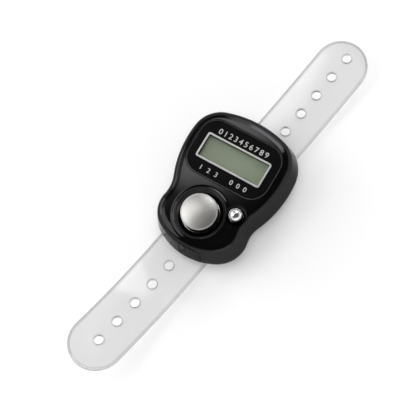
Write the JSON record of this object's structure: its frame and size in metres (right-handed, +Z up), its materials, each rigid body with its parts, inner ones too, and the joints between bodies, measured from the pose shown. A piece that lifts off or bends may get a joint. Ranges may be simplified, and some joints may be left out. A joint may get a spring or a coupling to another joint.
{
  "type": "digital tasbih counter",
  "caption": "Finger tally counter: gloss black waisted case with a display window, a large count button, a small reset button and a clear holed strap through its back.",
  "frame": {"origin": "middle of the flat underside of the strap bridge, on the case's centre line, where the counter rests", "axes": "+Z up through the display, +Y towards the display end of the case, +X to the right of someone reading the display"},
  "size_m": [0.0316, 0.1075, 0.0162],
  "materials": {
    "case_black": "gloss",
    "label_black": "gloss",
    "trim_silver": "satin",
    "window_clear": "clear",
    "lcd_glass": "satin",
    "reflector_film": "satin",
    "zebra_rubber": "matte",
    "board_laminate": "satin",
    "chip_resin": "matte",
    "chip_ceramic": "matte",
    "cell_steel": "satin",
    "contact_nickel": "satin",
    "button_silver": "satin",
    "button_chrome": "polished",
    "dome_rubber": "matte",
    "screw_steel": "satin",
    "strap_clear": "clear"
  },
  "bodies": {
    "case": {"front_shell": "case_black", "rear_cover": "case_black", "label_plate": "label_black", "display_trim": "trim_silver", "display_window": "window_clear", "lcd_panel": "lcd_glass", "lcd_reflector": "reflector_film", "zebra_strip_upper": "zebra_rubber", "zebra_strip_lower": "zebra_rubber", "circuit_board": "board_laminate", "controller_chip": "chip_resin", "chip_capacitor": "chip_ceramic", "chip_resistor": "chip_resin", "coin_cell": "cell_steel", "battery_contact_plus": "contact_nickel", "battery_contact_minus": "contact_nickel", "count_dome": "dome_rubber", "reset_dome": "dome_rubber", "case_screws": "screw_steel", "board_screws": "screw_steel"},
    "count_button": {"count_button": "button_silver"},
    "reset_button": {"reset_button": "button_chrome"},
    "strap_middle": {"strap_middle": "strap_clear"},
    "strap_tail_upper": {"strap_tail_upper": "strap_clear"},
    "strap_tail_lower": {"strap_tail_lower": "strap_clear"}
  },
  "joints": [
    {"name": "count_press", "type": "slide", "parent": "case", "child": "count_button", "axis": [0, 0, -1], "range_m": [0, 0.0008], "stiffness_N_per_m": 1500, "springref_m": -0.0002, "deforming": ["count_dome"]},
    {"name": "reset_press", "type": "slide", "parent": "case", "child": "reset_button", "axis": [0, 0, -1], "range_m": [0, 0.0005], "stiffness_N_per_m": 1500, "springref_m": -0.0002, "deforming": ["reset_dome"]},
    {"name": "strap_swing", "type": "hinge", "parent": "case", "child": "strap_middle", "pos_m": [0.0011, -0.00045, 0.0022], "axis": [0, 0, 1], "range_deg": [-3.5, 26]},
    {"name": "upper_tail_bend", "type": "hinge", "parent": "strap_middle", "child": "strap_tail_upper", "pos_m": [0.00478, 0.02022, 0.0022], "axis": [0.9845, -0.1754, 0], "range_deg": [-85, 60], "stiffness_Nm_per_rad": 0.01},
    {"name": "lower_tail_bend", "type": "hinge", "parent": "strap_middle", "child": "strap_tail_lower", "pos_m": [-0.00258, -0.02112, 0.0022], "axis": [-0.9845, 0.1754, 0], "range_deg": [-85, 60], "stiffness_Nm_per_rad": 0.01}
  ]
}
